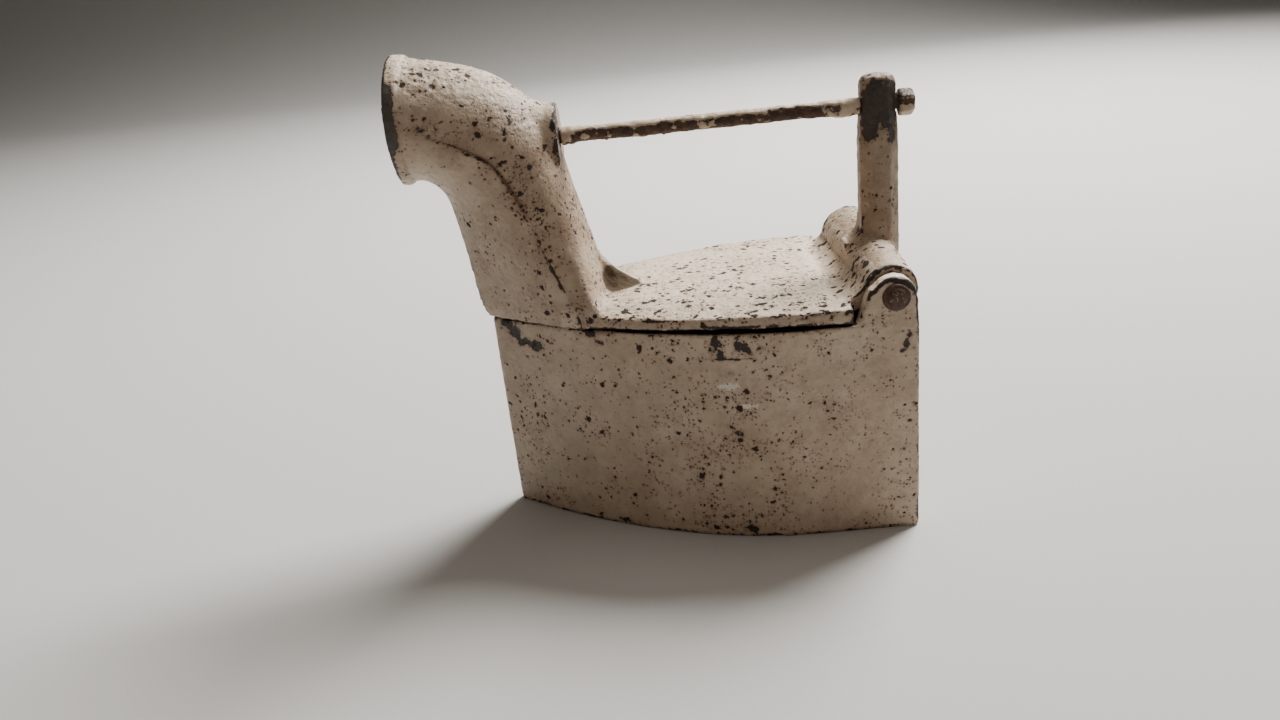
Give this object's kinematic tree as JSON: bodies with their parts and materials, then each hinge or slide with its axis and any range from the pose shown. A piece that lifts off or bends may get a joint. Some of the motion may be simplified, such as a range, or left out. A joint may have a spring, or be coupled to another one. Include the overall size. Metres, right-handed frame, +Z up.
{
  "type": "charcoal clothes iron",
  "caption": "Cast-iron charcoal clothes iron with a boat-shaped box body, hinged lid, forward-facing chimney, bare handle bolt, grate and heel damper.",
  "frame": {"origin": "on the underside of the sole, half way between the nose and the heel, on the middle plane", "axes": "+X towards the heel and its hinge, -X towards the nose and the chimney's mouth, +Y towards the iron's far side, +Z up"},
  "size_m": [0.1983, 0.1061, 0.1929],
  "materials": {
    "painted_body": "old cream paint on cast iron, matt, pitted with dark rust specks",
    "painted_lid": "old cream paint on cast iron, matt, pitted with dark rust specks and worn bare at edges",
    "painted_damper": "old cream paint, chipped",
    "rusty_rod": "dark rust with remains of cream paint",
    "bare_iron": "worn bare iron, dark brown patina",
    "sooty_iron": "burnt and sooty, matt"
  },
  "bodies": {
    "body": {"body_casting": "painted_body", "grate": "sooty_iron", "hinge_pin": "bare_iron", "hinge_pin_washer": "bare_iron", "damper_rivet": "bare_iron"},
    "lid": {"lid_casting": "painted_lid", "handle_rod": "rusty_rod", "rod_nut": "bare_iron"},
    "damper": {"damper_plate": "painted_damper"}
  },
  "joints": [
    {"name": "lid_hinge", "type": "hinge", "parent": "body", "child": "lid", "pos_m": [0.074, 0, 0.0953], "axis": [0, 1, 0], "range_deg": [0, 110]},
    {"name": "damper_pivot", "type": "hinge", "parent": "body", "child": "damper", "pos_m": [0.0825, 0, 0.038], "axis": [1, 0, 0], "range_deg": [-75, 75]}
  ]
}
